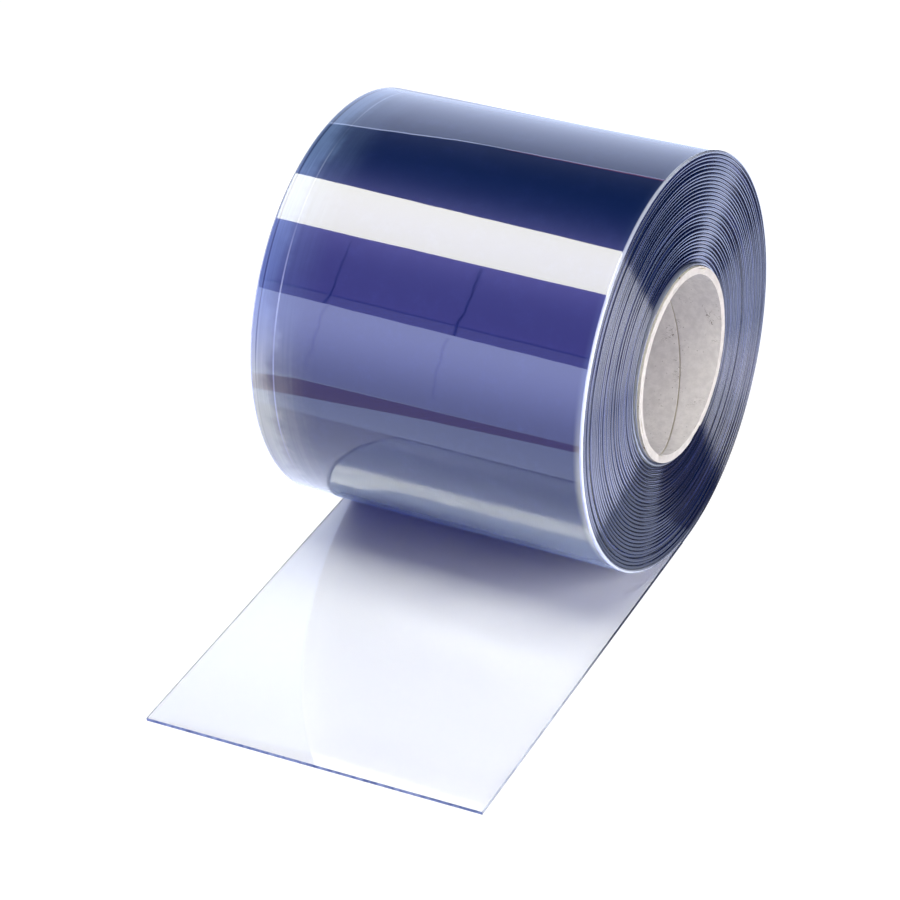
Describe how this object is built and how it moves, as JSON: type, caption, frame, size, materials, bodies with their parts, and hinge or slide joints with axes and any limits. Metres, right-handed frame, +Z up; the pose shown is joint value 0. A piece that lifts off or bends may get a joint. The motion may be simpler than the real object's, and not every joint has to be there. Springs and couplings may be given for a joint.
{
  "type": "pvc strip curtain roll",
  "caption": "Roll of clear, blue-tinted PVC strip for door curtains, wound on a spiral board core and lying on its side, with its free end laid flat on the floor.",
  "frame": {"origin": "on the floor under the roll's axis, at the middle of the strip's width", "axes": "+X along the roll's axis, +Y from the free end towards the back of the roll, +Z up"},
  "size_m": [0.3084, 0.5556, 0.3531],
  "materials": {
    "pvc_wound": "clear blue-tinted soft PVC, polished, dark in depth because many turns lie over each other",
    "pvc_laid": "clear blue-tinted soft PVC, polished, a single layer that is nearly colourless from above and blue along its cut edges",
    "board_liner": "grey recycled board with specks, matt",
    "board_body": "grey-brown board, matt",
    "board_face": "pale grey board, matt"
  },
  "bodies": {
    "floor_strip": {"strip_laid": "pvc_laid"},
    "roll_carriage": {"strip_nip": "pvc_laid"},
    "roll": {"strip_winding": "pvc_wound", "core_inner_ply": "board_liner", "core_body_ply_1": "board_body", "core_body_ply_2": "board_body", "core_body_ply_3": "board_body", "core_body_ply_4": "board_body", "core_outer_ply": "board_face"},
    "free_end": {"strip_free_end": "pvc_laid"}
  },
  "joints": [
    {"name": "roll_travel", "type": "slide", "parent": "floor_strip", "child": "roll_carriage", "axis": [0, 1, 0], "range_m": [0, 1.1057], "deforming": ["strip_nip"]},
    {"name": "roll_turn", "type": "hinge", "parent": "roll_carriage", "child": "roll", "pos_m": [0, 0, 0.17748], "axis": [1, 0, 0], "range_deg": [-360, 0]},
    {"name": "free_end_lift", "type": "hinge", "parent": "floor_strip", "child": "free_end", "pos_m": [0, -0.18998, 0.003], "axis": [-1, 0, 0], "range_deg": [0, 80]}
  ],
  "couplings": [
    {"joint": "roll_turn", "follows": "roll_travel", "rad_per_m": -5.6825}
  ]
}
